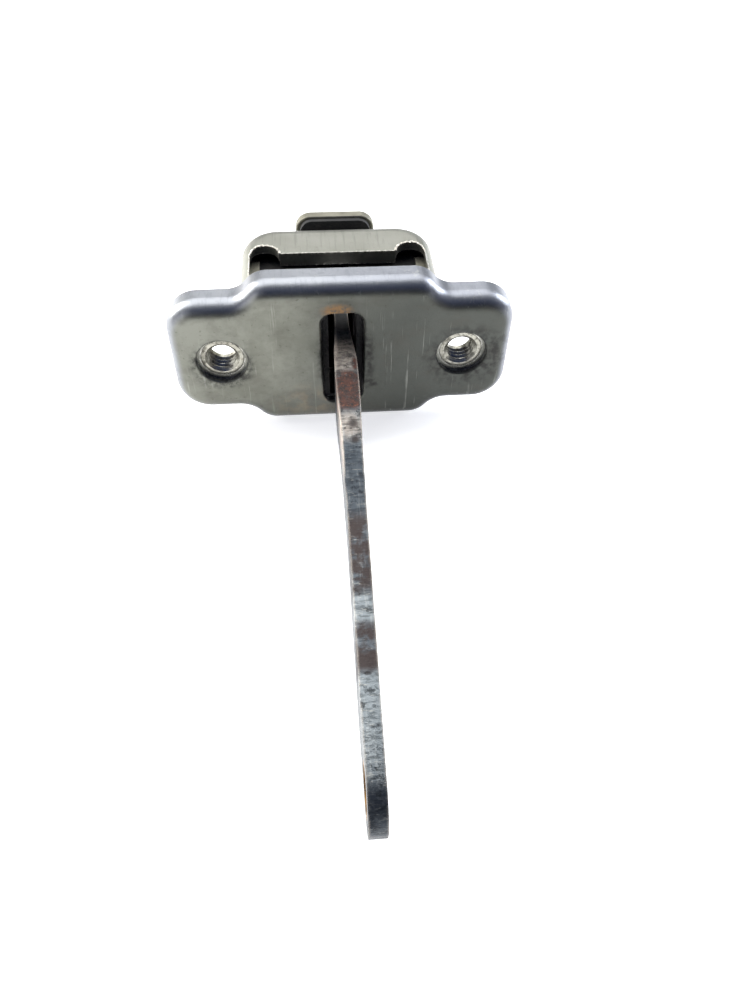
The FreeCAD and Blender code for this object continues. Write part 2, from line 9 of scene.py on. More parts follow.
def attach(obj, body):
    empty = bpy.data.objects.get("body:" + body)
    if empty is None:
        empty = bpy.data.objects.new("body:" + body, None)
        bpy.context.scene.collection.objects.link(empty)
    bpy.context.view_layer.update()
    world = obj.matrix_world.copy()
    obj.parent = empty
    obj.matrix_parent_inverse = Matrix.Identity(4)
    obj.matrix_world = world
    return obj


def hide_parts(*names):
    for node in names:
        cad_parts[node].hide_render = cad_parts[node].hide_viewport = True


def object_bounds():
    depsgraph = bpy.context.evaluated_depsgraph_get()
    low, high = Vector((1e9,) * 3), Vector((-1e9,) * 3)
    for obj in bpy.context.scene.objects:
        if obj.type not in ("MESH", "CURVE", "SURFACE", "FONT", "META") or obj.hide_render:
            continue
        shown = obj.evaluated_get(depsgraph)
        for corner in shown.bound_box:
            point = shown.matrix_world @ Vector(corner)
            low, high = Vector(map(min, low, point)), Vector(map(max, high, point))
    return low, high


bl_info = {
    "name": "Door check",
    "version": (1, 0, 0),
    "blender": (4, 5, 0),
    "location": "View3D > Sidebar > Door check",
    "description": "Builds the finishes and the fine detail of an automotive door check",
    "category": "Add Mesh",
}

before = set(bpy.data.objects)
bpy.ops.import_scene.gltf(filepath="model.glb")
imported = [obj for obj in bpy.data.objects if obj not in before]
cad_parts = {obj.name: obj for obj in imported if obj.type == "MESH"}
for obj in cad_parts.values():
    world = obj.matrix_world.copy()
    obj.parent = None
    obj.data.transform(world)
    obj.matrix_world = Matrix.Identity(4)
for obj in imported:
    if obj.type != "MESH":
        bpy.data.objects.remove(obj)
CAD_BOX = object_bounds()
MM = 0.001

COORDINATES = "ShaderNodeTexCoord"
MAPPING = "ShaderNodeMapping"
NOISE = "ShaderNodeTexNoise"
RANGE = "ShaderNodeMapRange"
MATHS = "ShaderNodeMath"
VECTORS = "ShaderNodeVectorMath"
MIX = "ShaderNodeMix"


# ---------------------------------------------------------------- colours and nodes


def colour(hex_code):
    """Linear colour with full alpha from an sRGB hex code."""
    channels = [int(hex_code[k : k + 2], 16) / 255 for k in (1, 3, 5)]
    linear = [c / 12.92 if c <= 0.04045 else ((c + 0.055) / 1.055) ** 2.4 for c in channels]
    return (*linear, 1.0)


def add(tree, kind, inputs=None, out=0, **options):
    """Add a node with its options, feed its inputs with values or with other nodes'
    sockets, and return the output that is asked for."""
    node = tree.nodes.new(kind)
    for key, value in options.items():
        setattr(node, key, value)
    for key, value in (inputs or {}).items():
        if isinstance(value, bpy.types.NodeSocket):
            tree.links.new(value, node.inputs[key])
        else:
            node.inputs[key].default_value = value
    return node.outputs[out] if node.outputs else node


# ---------------------------------------------------------------- surface layers


def mottle(tree, place, spacing, low, high, detail=5.0, stretch=(1, 1, 1), turn=(0, 0, 0)):
    """Blotches of a real size in millimetres, drawn out along an axis where stretch is
    small: nothing below the low level of the noise, and all of it above the high one.
    The turn follows the stretch, so it picks other blotches and does not slant them."""
    fine = [part / (spacing * MM) for part in stretch]
    angles = [math.radians(a) for a in turn]
    mapped = add(tree, MAPPING, {"Vector": place, "Scale": fine, "Rotation": angles})
    blotch = add(tree, NOISE, {"Vector": mapped, "Scale": 1.0, "Detail": detail, "Roughness": 0.65})
    return add(tree, RANGE, {0: blotch, 1: low, 2: high}, interpolation_type="SMOOTHSTEP")


def patch(tree, place, centre, radius, soft, broken=None):
    """Patch inside an ellipsoid given in millimetres, fading over its outer share and
    broken up by blotches."""
    scale = [1.0 / (r * MM) for r in radius]
    shift = [-c * MM * k for c, k in zip(centre, scale)]
    mapped = add(tree, MAPPING, {"Vector": place, "Scale": scale, "Location": shift})
    away = add(tree, VECTORS, {0: mapped}, 1, operation="LENGTH")
    levels = {0: away, 1: 1.0 - soft, 2: 1.0, 3: 1.0, 4: 0.0}
    inside = add(tree, RANGE, levels, interpolation_type="SMOOTHSTEP")
    if broken is None:
        return inside
    return add(tree, MATHS, {0: inside, 1: broken}, operation="MULTIPLY")


def either(tree, *masks):
    """Union of several masks."""
    union = masks[0]
    for mask in masks[1:]:
        union = add(tree, MATHS, {0: union, 1: mask}, operation="MAXIMUM")
    return union


def worn_edges(tree, width, broken):
    """Edges rubbed bare over a width in millimetres, where the blotches let them be."""
    rounded = add(tree, "ShaderNodeBevel", {"Radius": width * MM}, samples=4)
    flat = add(tree, "ShaderNodeNewGeometry", None, "Normal")
    facing = add(tree, VECTORS, {0: rounded, 1: flat}, 1, operation="DOT_PRODUCT")
    edge = add(tree, RANGE, {0: facing, 1: 0.98, 2: 0.75, 3: 0.0, 4: 1.0})
    return add(tree, MATHS, {0: edge, 1: broken}, operation="MULTIPLY")


def corner_shade(tree, reach, low, high):
    """Painted shade: darkens corners closer together than a reach in millimetres, by ambient
    occlusion.
    """
    shade = add(tree, "ShaderNodeAmbientOcclusion", {"Distance": reach * MM}, "AO", samples=6)
    levels = {0: shade, 1: low, 2: high, 3: 1.0, 4: 0.0}
    return add(tree, RANGE, levels, interpolation_type="SMOOTHSTEP")


def scratches(tree, place, spacing, turn):
    """Thin scattered upright scratches, another set for each turn, with bare stretches
    between them."""
    lines = mottle(tree, place, spacing, 0.62, 0.68, 3.0, (1.0, 1.0, 0.03), (0, turn, 0))
    stretches = mottle(tree, place, 9.0, 0.42, 0.62, 2.0)
    return add(tree, MATHS, {0: lines, 1: stretches}, operation="MULTIPLY")


def rust(tree, place):
    """Colour of mottled rust, from near black through red-brown to a little orange."""
    scale = mottle(tree, place, 1.5, 0.36, 0.64, 6.0)
    bloom = mottle(tree, place, 0.6, 0.52, 0.78)
    shades = {0: scale, 6: colour("#120906"), 7: colour("#3b1b0e")}
    dark = add(tree, MIX, shades, 2, data_type="RGBA")
    return add(tree, MIX, {0: bloom, 6: dark, 7: colour("#6e3a1e")}, 2, data_type="RGBA")


def lay(tree, surface, mask, strength=1.0, raised=0.0, **film):
    """Lay a film over a surface: its colour, roughness and metallic share where the mask
    is full, and the height in millimetres by which it stands out."""
    share = add(tree, MATHS, {0: mask, 1: strength}, operation="MULTIPLY")
    for part, value in film.items():
        if part == "colour":
            paint = colour(value) if isinstance(value, str) else value
            inputs = {0: share, 6: surface[part], 7: paint}
            surface[part] = add(tree, MIX, inputs, 2, data_type="RGBA")
        else:
            inputs = {0: share, 2: surface[part], 3: value}
            surface[part] = add(tree, MIX, inputs, data_type="FLOAT")
    if raised:
        inputs = {0: mask, 1: raised, 2: surface["height"]}
        surface["height"] = add(tree, MATHS, inputs, operation="MULTIPLY_ADD")


def new_finish(name):
    """Empty node material and the object coordinates that its layers read."""
    material = bpy.data.materials.new(name)
    material.use_nodes = True
    material.node_tree.nodes.clear()
    return material, material.node_tree, add(material.node_tree, COORDINATES, None, "Object")


def bare(paint, rough, metal):
    """Surface with nothing laid on it yet."""
    return {"colour": paint, "rough": rough, "metal": metal, "height": 0.0}


def wire(tree, surface, **extras):
    """Shader that shows the finished surface; heights in millimetres become relief."""
    inputs = {
        "Base Color": surface["colour"],
        "Roughness": surface["rough"],
        "Metallic": surface["metal"],
        **extras,
    }
    if isinstance(surface["height"], bpy.types.NodeSocket):
        relief = {"Height": surface["height"], "Distance": MM}
        inputs["Normal"] = add(tree, "ShaderNodeBump", relief)
    shader = add(tree, "ShaderNodeBsdfPrincipled", inputs)
    add(tree, "ShaderNodeOutputMaterial", {"Surface": shader})


# ---------------------------------------------------------------- finishes


def zinc_plated_sheet(settings):
    """Zinc-plated deep-drawn steel sheet: satin grey with a faint green cast, cloudy and browner
    where the plating has dulled, with handling scratches that catch the light. Painted shade
    darkens it towards the right-hand ear, and a painted reflection makes its rounding lighter and
    bluer."""
    material, tree, place = new_finish("zinc_plated_drawn_steel")
    surface = bare(settings.cover_colour, settings.cover_roughness, 1.0)
    cloud = mottle(tree, place, 13.0, 0.35, 0.65)
    lay(tree, surface, cloud, 0.3, colour="#8f9088", rough=0.42)
    # painted shade that deepens towards the right-hand ear, where less light falls
    right_side_shade = patch(tree, place, (38, 0, -4), (58, 60, 60), 0.55)
    lay(tree, surface, right_side_shade, 0.85, colour=settings.right_shade_colour, rough=0.4)
    haze = patch(tree, place, (-9, 0, -14), (11, 6, 8), 0.8, mottle(tree, place, 3.0, 0.4, 0.62))
    lay(tree, surface, haze, 0.4, colour="#8a7b68", rough=0.5)
    smears = mottle(tree, place, 5.0, 0.46, 0.68, 6.0, (0.5, 1.0, 1.0), (0, 25, 0))
    lay(tree, surface, smears, 0.3, colour="#4a4740", rough=0.5, metal=0.7)
    speck = mottle(tree, place, 1.2, 0.58, 0.72, 6.0)
    lay(tree, surface, speck, 0.5, 0.004, colour="#3f3c35", rough=0.55)
    # the drawn rounding is painted lighter and bluer: a painted reflection of the lamps and the
    # room
    depth = add(tree, "ShaderNodeSeparateXYZ", {0: place}, 1)
    levels = {0: depth, 1: 0.15 * MM, 2: 1.3 * MM}
    rounding_sheen = add(tree, RANGE, levels, interpolation_type="SMOOTHSTEP")
    lay(tree, surface, rounding_sheen, 0.6, colour=settings.rounding_sheen_colour, rough=0.33)
    drawn = mottle(tree, place, 0.8, 0.48, 0.66, 5.0, (1.0, 0.25, 0.25))
    streaked = add(tree, MATHS, {0: drawn, 1: rounding_sheen}, operation="MULTIPLY")
    lay(tree, surface, streaked, 0.35, -0.012, colour="#6b6e74", rough=0.4)
    crossing = either(
        tree,
        scratches(tree, place, 1.2, 28),
        scratches(tree, place, 1.6, -35),
        scratches(tree, place, 1.4, 62),
    )
    lay(tree, surface, crossing, 0.32, -0.006, colour="#9a9b94", rough=0.28)
    ragged = mottle(tree, place, 1.3, 0.38, 0.62)
    lay(tree, surface, worn_edges(tree, 0.5, ragged), 0.5, colour="#b9bab5", rough=0.3)
    # soot and grease pressed out of the slot and from under the bolt heads
    broken = mottle(tree, place, 2.0, 0.40, 0.62, 7.0)
    soot = either(
        tree,
        patch(tree, place, (0.6, 0, -0.6), (8.0, 6.0, 17.0), 0.3, broken),
        patch(tree, place, (-29, 0, -1.0), (8.8, 5.0, 8.2), 0.28, broken),
        patch(tree, place, (30.5, 0, -0.6), (13.0, 5.0, 11.0), 0.5, broken),
        patch(tree, place, (7.0, 0, -8.0), (3.0, 4.0, 1.6), 0.6, broken),
    )
    lay(tree, surface, soot, 0.75, colour="#211f1b", rough=0.7, metal=0.3)
    # rust bleeding upwards from the top of the slot
    torn = mottle(tree, place, 1.0, 0.34, 0.56, 6.0)
    bleed = patch(tree, place, (-1.2, 0, 13.7), (4.6, 4.0, 2.4), 0.6, torn)
    lay(tree, surface, bleed, 0.9, 0.02, colour="#8a6a44", rough=0.8, metal=0.1)
    grain = mottle(tree, place, 0.45, 0.3, 0.7)
    lay(tree, surface, grain, 0.2, 0.008, rough=0.5)
    lay(tree, surface, mottle(tree, place, 9.0, 0.2, 0.8, 2.0), 0.0, 0.05)
    wire(tree, surface)
    return material


def press_drawn_steel(settings):
    """Drawn steel left dull by the press: pale grey, fine draw lines from front to back, bright
    torn burrs where the sheet was cut, and painted shade that darkens it inside and in its corners."""
    material, tree, place = new_finish("press_drawn_steel")
    surface = bare(settings.cup_colour, 0.44, 0.95)
    lay(tree, surface, mottle(tree, place, 8.0, 0.35, 0.65), 0.5, colour="#8a8a83", rough=0.5)
    draw = mottle(tree, place, 0.7, 0.50, 0.72, 4.0, (1.0, 0.06, 1.0))
    lay(tree, surface, draw, 0.5, 0.012, colour="#65655e")
    lay(tree, surface, mottle(tree, place, 1.6, 0.6, 0.75), 0.4, colour="#5a564c", rough=0.6)
    torn = mottle(tree, place, 0.8, 0.38, 0.58, 5.0, (1.0, 1.0, 0.4))
    burr = worn_edges(tree, 0.9, torn)
    lay(tree, surface, burr, 0.95, 0.06, colour="#e6e3da", rough=0.2)
    lay(tree, surface, mottle(tree, place, 0.4, 0.3, 0.7), 0.2, 0.01, rough=0.55)
    # painted shade inside the cup and in its corners
    lay(tree, surface, corner_shade(tree, 9.0, 0.05, 0.32), 0.9, colour="#0c0a08", rough=0.75, metal=0.1)
    wire(tree, surface)
    return material


def torn_steel():
    """Steel torn by the punch: crumpled and bright, with painted shade in its folds."""
    material, tree, place = new_finish("torn_bright_steel")
    surface = bare(colour("#c9c5bb"), 0.26, 1.0)
    lay(tree, surface, mottle(tree, place, 0.9, 0.4, 0.62), 0.6, colour="#8a8579", rough=0.45)
    lay(tree, surface, mottle(tree, place, 0.35, 0.35, 0.65), 0.3, 0.03, rough=0.35)
    # painted shade in the folds
    lay(tree, surface, corner_shade(tree, 0.8, 0.3, 0.7), 0.7, colour="#1d1913", rough=0.6, metal=0.3)
    wire(tree, surface)
    return material


def turned_steel():
    """Turned zinc-plated steel: brighter than the sheet, finely streaked by the tool, with painted
    shade darkening the thread."""
    material, tree, place = new_finish("turned_zinc_plated_steel")
    surface = bare(colour("#a3a196"), 0.26, 1.0)
    rings = mottle(tree, place, 0.5, 0.3, 0.7, 3.0, (0.25, 1.0, 0.25))
    lay(tree, surface, rings, 0.5, 0.006, colour="#8d8b80", rough=0.4)
    stain = mottle(tree, place, 1.8, 0.45, 0.66, 6.0)
    lay(tree, surface, stain, 0.8, colour="#4b463c", rough=0.6, metal=0.6)
    torn = mottle(tree, place, 0.6, 0.3, 0.6)
    lay(tree, surface, worn_edges(tree, 0.25, torn), 0.7, colour="#dedcd2", rough=0.2)
    # painted shade in the thread
    lay(tree, surface, corner_shade(tree, 1.6, 0.3, 0.75), 0.9, colour="#12100c", rough=0.6, metal=0.2)
    wire(tree, surface)
    return material


def mill_scale(settings):
    """Hot-forged flat bar under its mill scale: blue-black, brushed along its length, with rust
    where the brake rubs, brown films and bright rubbed edges, the left-hand one partly a painted
    highlight; painted shadow blacks it out inside the slot."""
    material, tree, place = new_finish("mill_scaled_forged_steel")
    tilt = (-5.5, 0, 0)
    surface = bare(settings.arm_colour, 0.36, 0.9)
    cloud = mottle(tree, place, 6.0, 0.34, 0.66, 6.0, (1.0, 0.45, 1.0))
    lay(tree, surface, cloud, 0.6, colour="#5b6064")
    pale = either(
        tree,
        patch(tree, place, (0, -92.0, -3), (6, 12.0, 14), 0.5),
        patch(tree, place, (0, -71.0, 0), (6, 4.5, 14), 0.6),
    )
    lay(tree, surface, pale, 0.5, colour="#7d8385", rough=0.3)
    warm = either(
        tree,
        patch(tree, place, (0, -6.0, 6), (5, 8.0, 12), 0.5),
        patch(tree, place, (0, -27.0, 3), (5, 6.0, 12), 0.8),
    )
    lay(tree, surface, warm, 0.7, colour="#8a8178", rough=0.34)
    streaks = mottle(tree, place, 0.9, 0.50, 0.70, 5.0, (1.0, 0.05, 1.0), tilt)
    lay(tree, surface, streaks, 0.4, 0.02, colour="#8c8f8e", rough=0.28)
    # rubbing leaves dark and light lines that cross the bar's narrow face
    rubbed = mottle(tree, place, 0.7, 0.46, 0.62, 5.0, (0.25, 1.0, 1.0), (0, 0, 32))
    lay(tree, surface, rubbed, 0.5, -0.02, colour="#1b1e21", rough=0.45)
    bared = mottle(tree, place, 0.55, 0.56, 0.70, 5.0, (0.25, 1.0, 1.0), (0, 0, 28))
    lay(tree, surface, bared, 0.55, 0.01, colour="#a3a29b", rough=0.26)
    flakes = mottle(tree, place, 1.7, 0.52, 0.64, 7.0)
    lay(tree, surface, flakes, 0.7, -0.03, colour="#1a1c1e", rough=0.5)
    # dark scale on the far end and further along the bar
    sooty = either(
        tree,
        patch(tree, place, (0, -112.0, -12), (9, 13.0, 20), 0.6),
        patch(tree, place, (0, -41.0, 0), (6, 15.0, 16), 0.6),
    )
    lay(tree, surface, sooty, 0.55, colour="#141a22", rough=0.42)
    # painted shadow: the bar inside the slot and the housing is painted black
    slot_shadow = patch(tree, place, (0, 14.0, 7), (8, 15.0, 24), 0.4)
    lay(tree, surface, slot_shadow, 0.97, colour="#050505", rough=0.6, metal=0.2)
    # rust: a strong patch just outside the slot, and brown films further out
    ragged = mottle(tree, place, 2.2, 0.26, 0.42, 7.0)
    strong = either(
        tree,
        patch(tree, place, (0.4, -16.5, 5.0), (6.0, 7.0, 9.0), 0.3, ragged),
        patch(tree, place, (2.6, -8.6, 6.5), (1.5, 3.0, 4.0), 0.5, ragged),
    )
    wide = mottle(tree, place, 3.4, 0.36, 0.56, 7.0)
    film = either(
        tree,
        patch(tree, place, (0, -59.0, 0), (7, 11.5, 15), 0.45, wide),
        patch(tree, place, (0, -79.0, -1), (7, 6.0, 15), 0.45, wide),
    )
    lay(tree, surface, film, 0.95, 0.02, colour="#22120d", rough=0.6, metal=0.3)
    lay(tree, surface, strong, 1.0, 0.06, colour=rust(tree, place), rough=0.85, metal=0.0)
    spots = mottle(tree, place, 1.2, 0.2, 0.36)
    pits = either(
        tree,
        patch(tree, place, (0.9, -26.4, 4.6), (1.9, 2.3, 5.0), 0.8, spots),
        patch(tree, place, (1.0, -31.0, 4.2), (1.4, 1.3, 5.0), 0.7),
    )
    lay(tree, surface, pits, 0.9, -0.2, colour="#1a100d", rough=0.6, metal=0.4)
    # the left-hand edge is rubbed bare and painted lighter as a highlight from the light on the
    # left, most of all where it leaves the slot
    streaky = mottle(tree, place, 1.3, 0.32, 0.52, 5.0, (1.0, 0.3, 1.0))
    worn_and_lit_left_edge = either(
        tree,
        patch(tree, place, (-2.6, -30.0, 1.0), (1.3, 17.0, 12.0), 0.6, streaky),
        patch(tree, place, (-2.2, -2.0, 7.0), (1.2, 11.0, 4.0), 0.7, streaky),
    )
    lay(tree, surface, worn_and_lit_left_edge, 0.7, colour="#d3c4b7", rough=0.4, metal=0.7)
    torn = mottle(tree, place, 1.6, 0.30, 0.52, 5.0, (1.0, 0.25, 1.0))
    lay(tree, surface, worn_edges(tree, 0.8, torn), 0.7, colour="#b3aca2", rough=0.32, metal=0.9)
    lay(tree, surface, mottle(tree, place, 0.5, 0.35, 0.7), 0.3, 0.02, rough=0.5)
    wire(tree, surface)
    return material


def stamped_plate():
    """Stamped steel plate: dull olive grey with tumbled edges under a thin oil film."""
    material, tree, place = new_finish("stamped_steel_plate")
    surface = bare(colour("#77756a"), 0.46, 0.95)
    lay(tree, surface, mottle(tree, place, 5.0, 0.35, 0.65, 6.0), 0.6, colour="#5f5d53", rough=0.55)
    lay(tree, surface, mottle(tree, place, 1.4, 0.58, 0.72, 6.0), 0.5, colour="#3d3a33", rough=0.6)
    torn = mottle(tree, place, 1.2, 0.35, 0.6)
    lay(tree, surface, worn_edges(tree, 0.4, torn), 0.5, colour="#a9a79d", rough=0.35)
    lay(tree, surface, mottle(tree, place, 0.5, 0.3, 0.7), 0.2, 0.012, rough=0.6)
    wire(tree, surface)
    return material


def black_moulding(name, paint, rough, grain, depth, dusty):
    """Black moulding, rubber or plastic: fine tool texture, shinier rubbed edges and a
    little settled dust. Grain and its depth are in millimetres."""
    material, tree, place = new_finish(name)
    surface = bare(paint, rough, 0.0)
    lay(tree, surface, mottle(tree, place, grain, 0.3, 0.7), 0.3, depth, rough=rough + 0.12)
    dust = mottle(tree, place, 4.0, 0.45, 0.72, 6.0)
    lay(tree, surface, dust, dusty, colour="#57524a", rough=0.85)
    torn = mottle(tree, place, 1.5, 0.35, 0.6)
    lay(tree, surface, worn_edges(tree, 0.3, torn), 0.5, rough=rough * 0.7)
    wire(tree, surface, IOR=1.5)
    return material


def sintered_bronze():
    """Sintered bronze sleeve: dull warm metal with open pores."""
    material, tree, place = new_finish("sintered_bronze")
    surface = bare(colour("#8f6f42"), 0.38, 1.0)
    lay(tree, surface, mottle(tree, place, 3.0, 0.4, 0.65), 0.4, colour="#74562f")
    pores = mottle(tree, place, 0.35, 0.56, 0.68, 4.0)
    lay(tree, surface, pores, 1.0, -0.02, colour="#3b2c1a", rough=0.7)
    wire(tree, surface)
    return material


def matt_board(settings):
    """Smooth matt white board that glows a little under the lamps, with the faintest
    unevenness."""
    material, tree, place = new_finish("matt_white_board")
    surface = bare(settings.floor_colour, 0.85, 0.0)
    lay(tree, surface, mottle(tree, place, 300.0, 0.3, 0.7, 3.0), 0.3, colour="#ececec")
    glow = {"Emission Color": settings.floor_colour, "Emission Strength": settings.floor_glow}
    wire(tree, surface, **glow, **{"Specular IOR Level": 0.2})
    return material


# ---------------------------------------------------------------- shared modelling steps


def settings_of(context):
    """What the user has set in the panel."""
    return context.scene.door_check


def dress(node_name, material):
    """Give one CAD node a finish."""
    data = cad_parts[node_name].data
    data.materials.clear()
    data.materials.append(material)


def begin():
    """Go back to object mode with nothing selected, before the next step."""
    if bpy.context.object and bpy.context.object.mode != "OBJECT":
        bpy.ops.object.mode_set(mode="OBJECT")
    bpy.ops.object.select_all(action="DESELECT")


def pick(piece):
    """Make one piece the only selected one, and the active one."""
    begin()
    piece.select_set(True)
    bpy.context.view_layer.objects.active = piece


def settle():
    """Put the active piece's place, turn and scale into its mesh."""
    bpy.ops.object.transform_apply(location=True, rotation=True, scale=True)


def select_where(piece, test):
    """Go into edit mode with only the vertices selected whose place passes the test."""
    bpy.ops.object.mode_set(mode="EDIT")
    bpy.ops.mesh.select_mode(type="VERT")
    bpy.ops.mesh.select_all(action="DESELECT")
    bpy.ops.object.mode_set(mode="OBJECT")
    for vertex in piece.data.vertices:
        vertex.select = test(vertex.co)
    bpy.ops.object.mode_set(mode="EDIT")


def grow(shift, scale, centre):
    """Extrude what is selected by a shift and scale the new end about its centre."""
    bpy.ops.mesh.extrude_region_move(TRANSFORM_OT_translate={"value": shift})
    bpy.ops.transform.resize(value=scale, center_override=centre)


def close_up():
    """Merge doubles, turn every face outwards and go back to object mode."""
    bpy.ops.mesh.select_all(action="SELECT")
    bpy.ops.mesh.remove_doubles(threshold=0.001 * MM)
    bpy.ops.mesh.normals_make_consistent(inside=False)
    bpy.ops.object.mode_set(mode="OBJECT")


def apply_modifier(piece, kind, **options):
    """Add a modifier to the piece and apply it."""
    modifier = piece.modifiers.new(kind.title(), kind)
    for key, value in options.items():
        setattr(modifier, key, value)
    bpy.context.view_layer.objects.active = piece
    bpy.ops.object.modifier_apply(modifier=modifier.name)


def drill(piece, centre, radius):
    """Cut a round hole through the piece along X."""
    begin()
    bpy.ops.mesh.primitive_cylinder_add(
        vertices=96, radius=radius, depth=20 * MM, location=centre, rotation=(0, math.pi / 2, 0)
    )
    cutter = bpy.context.object
    apply_modifier(piece, "BOOLEAN", operation="DIFFERENCE", object=cutter, solver="EXACT")
    bpy.data.objects.remove(cutter)


def smooth(piece, degrees=32):
    """Shade a piece smooth, up to an angle between two faces."""
    pick(piece)
    bpy.ops.object.shade_smooth_by_angle(angle=math.radians(degrees))


def hand_over(piece, material, body, node=None):
    """Give a new piece its finish and body, and hide the CAD node that it stands for."""
    piece.data.materials.clear()
    piece.data.materials.append(material)
    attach(piece, body)
    if node:
        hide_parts(node)


# ---------------------------------------------------------------- collars


COLLAR_SPACING = 58.0 * MM
CREST_RADIUS = 3.35 * MM
MOUTH_RADIUS = 4.15 * MM
BARREL_RADIUS = 5.2 * MM
FACE_RADIUS = 4.95 * MM
COLLAR_FRONT, COLLAR_BACK = 1.7 * MM, 7.6 * MM
THREAD_START, THREAD_STOP = 2.5 * MM, 7.3 * MM


def collar_profile(settings):
    """Radius and depth of each ring of a collar, from the mouth of its bore round to the
    rim of its front face, in metres. The thread is drawn as closed turns."""
    crest = CREST_RADIUS
    root = crest + settings.thread_depth
    pitch = settings.thread_pitch
    rings = [(MOUTH_RADIUS, COLLAR_FRONT), (crest, THREAD_START - 0.15 * MM)]
    for turn in range(int((THREAD_STOP - THREAD_START) / pitch)):
        depth = THREAD_START + turn * pitch
        rings += [
            (crest, depth),
            (root, depth + 0.45 * pitch),
            (root, depth + 0.55 * pitch),
            (crest, depth + 0.95 * pitch),
        ]
    rings += [
        (crest, THREAD_STOP),
        (crest + 0.25 * MM, COLLAR_BACK),
        (FACE_RADIUS, COLLAR_BACK),
        (BARREL_RADIUS, COLLAR_BACK - 0.2 * MM),
        (BARREL_RADIUS, COLLAR_FRONT + 0.25 * MM),
        (BARREL_RADIUS - 0.08 * MM, COLLAR_FRONT + 0.08 * MM),
        (FACE_RADIUS, COLLAR_FRONT),
    ]
    return rings


def turn_collar(settings, x):
    """Turn one collar ring by ring from a circle, then close its front face."""
    begin()
    rings = collar_profile(settings)
    radius, depth = rings[0]
    bpy.ops.mesh.primitive_circle_add(
        vertices=72, radius=radius, location=(x, depth, 0), rotation=(math.pi / 2, 0, 0)
    )
    collar = bpy.context.object
    settle()
    bpy.ops.object.mode_set(mode="EDIT")
    bpy.ops.mesh.select_mode(type="EDGE")
    bpy.ops.mesh.select_all(action="SELECT")
    for (old, before), (new, after) in zip(rings, rings[1:]):
        ratio = new / old
        grow((0, after - before, 0), (ratio, 1, ratio), (x, after, 0))
    bpy.ops.mesh.select_all(action="DESELECT")
    bpy.ops.mesh.select_non_manifold()
    bpy.ops.mesh.bridge_edge_loops()
    close_up()
    return collar


# ---------------------------------------------------------------- burrs

# lobe of the upper window on the right, in millimetres
LOBE_CENTRE = (17.9, 20.5, 16.1)
LOBE_RADIUS = 3.5


def raise_burr(settings):
    """Torn lip round one lobe of the upper window: half a ring laid on the cup, shaken
    out of true and given a thickness."""
    begin()
    centre = tuple([c * MM for c in LOBE_CENTRE])
    bpy.ops.mesh.primitive_circle_add(vertices=120, radius=LOBE_RADIUS * MM, location=centre)
    burr = bpy.context.object
    settle()
    select_where(burr, lambda place: place.y < centre[1] - 0.1 * MM)
    bpy.ops.mesh.delete(type="VERT")
    bpy.ops.mesh.select_all(action="SELECT")
    for ratio in (1.06, 1.05, 1.04):
        grow((0, 0, 0), (ratio, ratio, 1), centre)
    bpy.ops.object.mode_set(mode="OBJECT")
    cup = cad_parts["housing_cup"]
    apply_modifier(burr, "SHRINKWRAP", target=cup, offset=0.04 * MM)
    bpy.ops.object.mode_set(mode="EDIT")
    bpy.ops.mesh.select_all(action="SELECT")
    bpy.ops.transform.vertex_random(offset=settings.burr_height, seed=7)
    bpy.ops.object.mode_set(mode="OBJECT")
    apply_modifier(burr, "SOLIDIFY", thickness=0.16 * MM, offset=0.0)
    bpy.ops.object.mode_set(mode="EDIT")
    close_up()
    return burr


def mirrored_copy(piece, axis):
    """Copy of a piece with its own mesh, mirrored across the origin."""
    pick(piece)
    bpy.ops.object.duplicate(linked=False)
    copy = bpy.context.object
    copy.scale[axis] = -1
    settle()
    bpy.ops.object.mode_set(mode="EDIT")
    close_up()
    return copy


def join(pieces, name):
    """Join pieces into the first of them and name it."""
    begin()
    for piece in pieces:
        piece.select_set(True)
    bpy.context.view_layer.objects.active = pieces[0]
    bpy.ops.object.join()
    pieces[0].name = name
    return pieces[0]


# ---------------------------------------------------------------- check arm

# in millimetres: distance in front of the pivot, then the reach to the left and to the right
ARM_STATIONS = (
    (-27.0, 1.65, 1.65),
    (10.0, 1.65, 1.65),
    (14.0, 1.68, 1.72),
    (17.0, 1.80, 1.90),
    (20.0, 2.02, 2.25),
    (23.0, 2.22, 2.62),
    (26.5, 2.34, 2.90),
    (30.5, 2.38, 3.00),
    (35.0, 2.30, 2.99),
    (40.0, 2.14, 2.92),
    (45.0, 2.00, 2.78),
    (51.0, 1.90, 2.58),
    (59.0, 1.82, 2.42),
    (68.0, 1.76, 2.28),
    (79.0, 1.74, 2.17),
    (92.0, 1.76, 2.04),
    (106.0, 1.78, 1.88),
    (121.4, 1.70, 1.70),
)
ARM_HALF_HEIGHT = 8.0
EYE_STATION = 121.4
EYE_RADIUS = 5.0
PIN_STATION = -23.5
PIN_HOLE_RADIUS = 2.03
END_HALF_THICKNESS = 1.70
PIVOT_DEPTH = 20.0
REST_TILT = 5.5


def arm_sections():
    """Every section of the bar with its half height, down to the round end."""
    sections = [(*station, ARM_HALF_HEIGHT) for station in ARM_STATIONS]
    for degrees in (12, 24, 36, 48, 60, 70, 78, 84):
        turn = math.radians(degrees)
        along = EYE_STATION + ARM_HALF_HEIGHT * math.sin(turn)
        half_height = ARM_HALF_HEIGHT * math.cos(turn)
        sections.append((along, END_HALF_THICKNESS, END_HALF_THICKNESS, half_height))
    return sections


